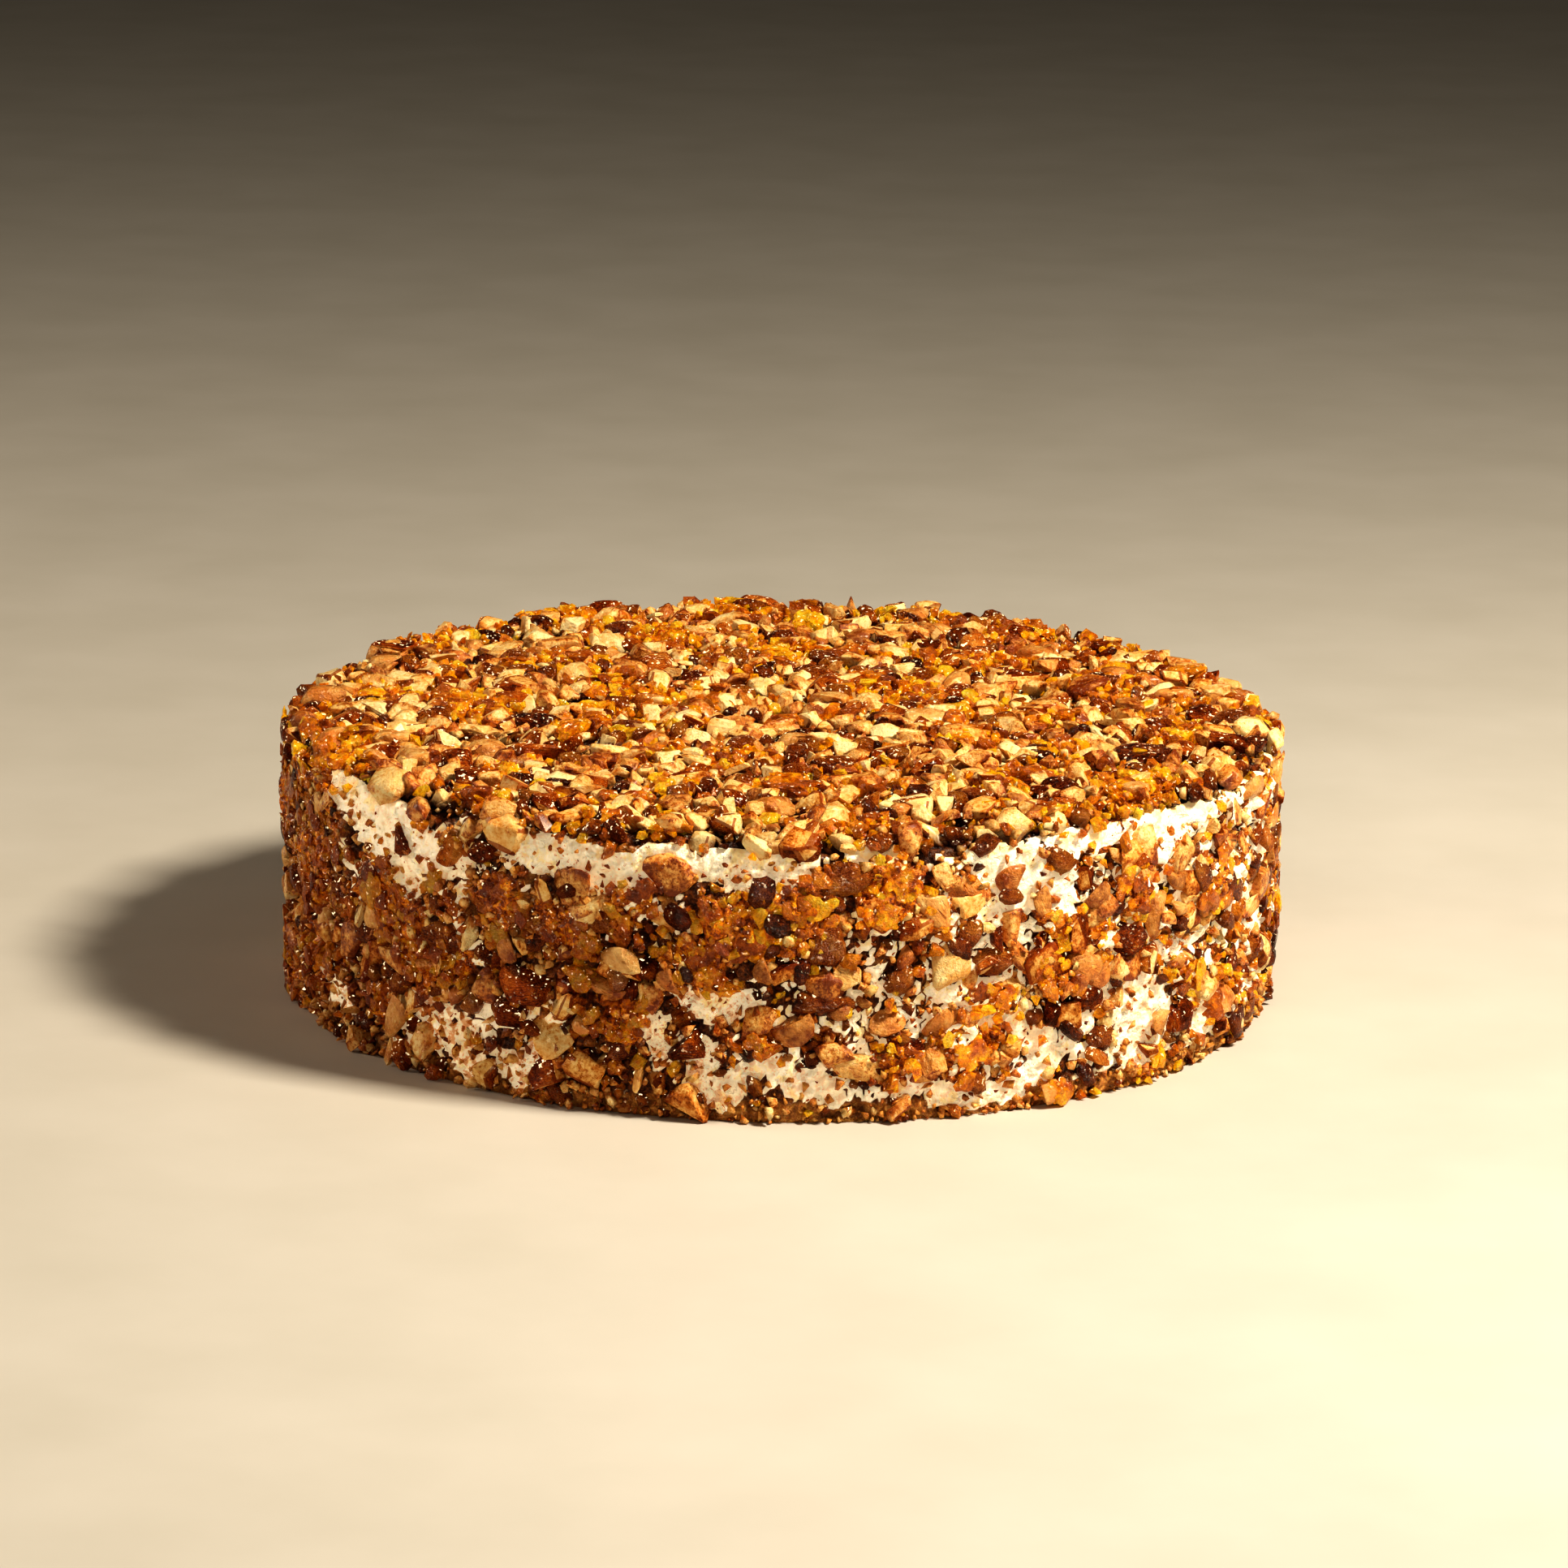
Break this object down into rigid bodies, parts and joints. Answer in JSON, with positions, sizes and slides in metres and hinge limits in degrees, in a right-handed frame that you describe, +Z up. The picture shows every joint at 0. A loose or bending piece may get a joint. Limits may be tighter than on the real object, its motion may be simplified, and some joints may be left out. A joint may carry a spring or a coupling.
{
  "type": "nut-coated cream cake",
  "caption": "Round uncut cream cake, flat based, with its top and side coated in chopped toasted nuts and broken caramel over patches of bare cream.",
  "frame": {"origin": "middle of the flat base, level with what the cake rests on", "axes": "+Z up along the cake's round axis, -Y towards the front shown in the picture, +X to its right"},
  "size_m": [0.2465, 0.2477, 0.0708],
  "materials": {
    "nut_coat": "rough coat of chopped toasted nuts with glossy caramel crumbs over white cream"
  },
  "bodies": {
    "root": {"cake": "nut_coat"}
  },
  "joints": []
}
